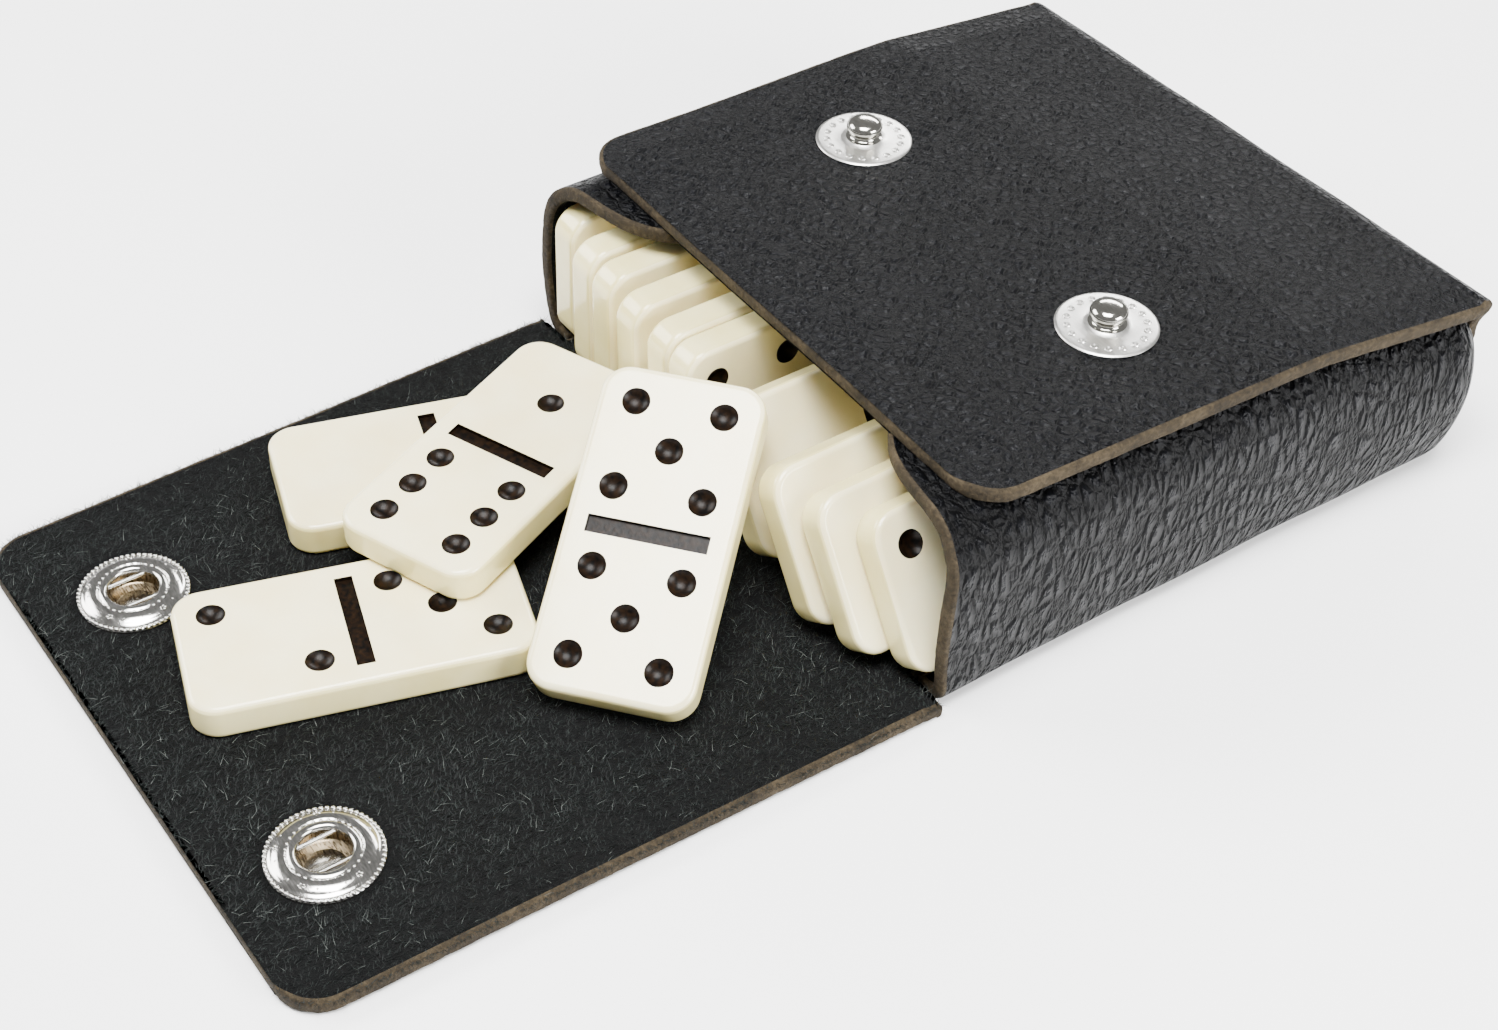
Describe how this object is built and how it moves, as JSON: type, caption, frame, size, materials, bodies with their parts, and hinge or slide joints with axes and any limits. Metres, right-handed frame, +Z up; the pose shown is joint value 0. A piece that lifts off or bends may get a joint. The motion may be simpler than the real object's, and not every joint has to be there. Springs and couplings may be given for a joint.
{
  "type": "folding leather domino case",
  "caption": "Travel domino set in a one-piece folded leather case whose front wall and closing flap fold over the top and snap shut on two press studs.",
  "frame": {"origin": "middle of the flat underside of the case body", "axes": "+Z up, +Y from the open mouth to the back of the case, +X to the right seen from the open flap looking into the mouth; the closing flap lies open towards -Y"},
  "size_m": [0.1018, 0.1964, 0.0364],
  "materials": {
    "leather_outside": "pebbled grain, satin",
    "suede_inside": "raw suede nap, matt",
    "nickel": "polished nickel plate",
    "spring_wire": "bright wire",
    "ivory": "glossy ivory resin with dark pips"
  },
  "bodies": {
    "case": {"base_panel": "leather_outside", "left_side_panel": "leather_outside", "right_side_panel": "leather_outside", "back_panel": "leather_outside", "top_flap": "leather_outside", "left_stud": "nickel", "left_rivet": "nickel", "right_stud": "nickel", "right_rivet": "nickel", "tile_0_5": "ivory", "tile_1_4": "ivory", "tile_1_5": "ivory", "tile_2_2": "ivory", "tile_2_5": "ivory", "tile_2_6": "ivory", "tile_3_3": "ivory", "tile_3_4": "ivory", "tile_3_5": "ivory", "tile_3_6": "ivory", "tile_4_4": "ivory", "tile_4_5": "ivory", "tile_5_6": "ivory", "tile_6_6": "ivory"},
    "front_wall": {"front_wall": "suede_inside"},
    "closing_flap": {"closing_flap": "suede_inside", "left_socket": "nickel", "left_socket_springs": "spring_wire", "left_cap": "nickel", "right_socket": "nickel", "right_socket_springs": "spring_wire", "right_cap": "nickel"},
    "tile_0_0": {"tile_0_0": "ivory"},
    "tile_0_1": {"tile_0_1": "ivory"},
    "tile_0_2": {"tile_0_2": "ivory"},
    "tile_1_1": {"tile_1_1": "ivory"},
    "tile_1_2": {"tile_1_2": "ivory"},
    "tile_4_6": {"tile_4_6": "ivory"},
    "tile_0_4": {"tile_0_4": "ivory"},
    "tile_0_6": {"tile_0_6": "ivory"},
    "tile_1_3": {"tile_1_3": "ivory"},
    "tile_2_4": {"tile_2_4": "ivory"},
    "tile_0_3": {"tile_0_3": "ivory"},
    "tile_2_3": {"tile_2_3": "ivory"},
    "tile_1_6": {"tile_1_6": "ivory"},
    "tile_5_5": {"tile_5_5": "ivory"}
  },
  "joints": [
    {"name": "front_fold", "type": "hinge", "parent": "case", "child": "front_wall", "pos_m": [0, -0.05275, 0.0022], "axis": [-1, 0, 0], "range_deg": [0, 90]},
    {"name": "flap_fold", "type": "hinge", "parent": "front_wall", "child": "closing_flap", "pos_m": [0, -0.08515, 0.0022], "axis": [-1, 0, 0], "range_deg": [0, 90]},
    {"name": "tile_0_0_slide", "type": "slide", "parent": "case", "child": "tile_0_0", "axis": [0, 1, 0], "range_m": [0, 0.0035]},
    {"name": "tile_0_1_slide", "type": "slide", "parent": "case", "child": "tile_0_1", "axis": [0, 1, 0], "range_m": [0, 0.0058]},
    {"name": "tile_0_2_slide", "type": "slide", "parent": "case", "child": "tile_0_2", "axis": [0, 1, 0], "range_m": [0, 0.0064]},
    {"name": "tile_1_1_slide", "type": "slide", "parent": "case", "child": "tile_1_1", "axis": [0, 1, 0], "range_m": [0, 0.0074]},
    {"name": "tile_1_2_slide", "type": "slide", "parent": "case", "child": "tile_1_2", "axis": [0, 1, 0], "range_m": [0, 0.0075]},
    {"name": "tile_4_6_slide", "type": "slide", "parent": "case", "child": "tile_4_6", "axis": [0, 1, 0], "range_m": [0, 0.0076]},
    {"name": "tile_0_4_slide", "type": "slide", "parent": "case", "child": "tile_0_4", "axis": [0, 1, 0], "range_m": [0, 0.0093]},
    {"name": "tile_0_6_slide", "type": "slide", "parent": "case", "child": "tile_0_6", "axis": [0, 1, 0], "range_m": [0, 0.0114]},
    {"name": "tile_1_3_slide", "type": "slide", "parent": "case", "child": "tile_1_3", "axis": [0, 1, 0], "range_m": [0, 0.0097]},
    {"name": "tile_2_4_slide", "type": "slide", "parent": "case", "child": "tile_2_4", "axis": [0, 1, 0], "range_m": [0, 0.0055]},
    {"name": "tile_0_3_set_aside", "type": "hinge", "parent": "case", "child": "tile_0_3", "pos_m": [-0.096, -0.08436, 0.00378], "axis": [0, -1, 0], "range_deg": [0, 180]},
    {"name": "tile_2_3_set_aside", "type": "hinge", "parent": "case", "child": "tile_2_3", "pos_m": [-0.112, -0.1109, 0.00378], "axis": [0, -1, 0], "range_deg": [0, 180]},
    {"name": "tile_1_6_set_aside", "type": "hinge", "parent": "case", "child": "tile_1_6", "pos_m": [-0.14004, -0.08035, 0.00809], "axis": [-0.0002, -0.9998, -0.021], "range_deg": [0, 180.97]},
    {"name": "tile_5_5_set_aside", "type": "hinge", "parent": "case", "child": "tile_5_5", "pos_m": [-0.18143, -0.07322, 0.04286], "axis": [-0.0331, -0.9806, -0.1933], "range_deg": [0, 199.83]}
  ],
  "couplings": [
    {"joint": "flap_fold", "follows": "front_fold", "ratio": 1},
    {"joint": "tile_0_0_slide", "follows": "front_fold", "m_per_rad": 0.0022282},
    {"joint": "tile_0_1_slide", "follows": "front_fold", "m_per_rad": 0.0036924},
    {"joint": "tile_0_2_slide", "follows": "front_fold", "m_per_rad": 0.0040744},
    {"joint": "tile_1_1_slide", "follows": "front_fold", "m_per_rad": 0.004711},
    {"joint": "tile_1_2_slide", "follows": "front_fold", "m_per_rad": 0.0047746},
    {"joint": "tile_4_6_slide", "follows": "front_fold", "m_per_rad": 0.0048383},
    {"joint": "tile_0_4_slide", "follows": "front_fold", "m_per_rad": 0.0059206},
    {"joint": "tile_0_6_slide", "follows": "front_fold", "m_per_rad": 0.0072575},
    {"joint": "tile_1_3_slide", "follows": "front_fold", "m_per_rad": 0.0061752},
    {"joint": "tile_2_4_slide", "follows": "front_fold", "m_per_rad": 0.0035014},
    {"joint": "tile_0_3_set_aside", "follows": "front_fold", "ratio": 2},
    {"joint": "tile_2_3_set_aside", "follows": "front_fold", "ratio": 2},
    {"joint": "tile_1_6_set_aside", "follows": "front_fold", "ratio": 2.0108},
    {"joint": "tile_5_5_set_aside", "follows": "front_fold", "ratio": 2.2204}
  ]
}
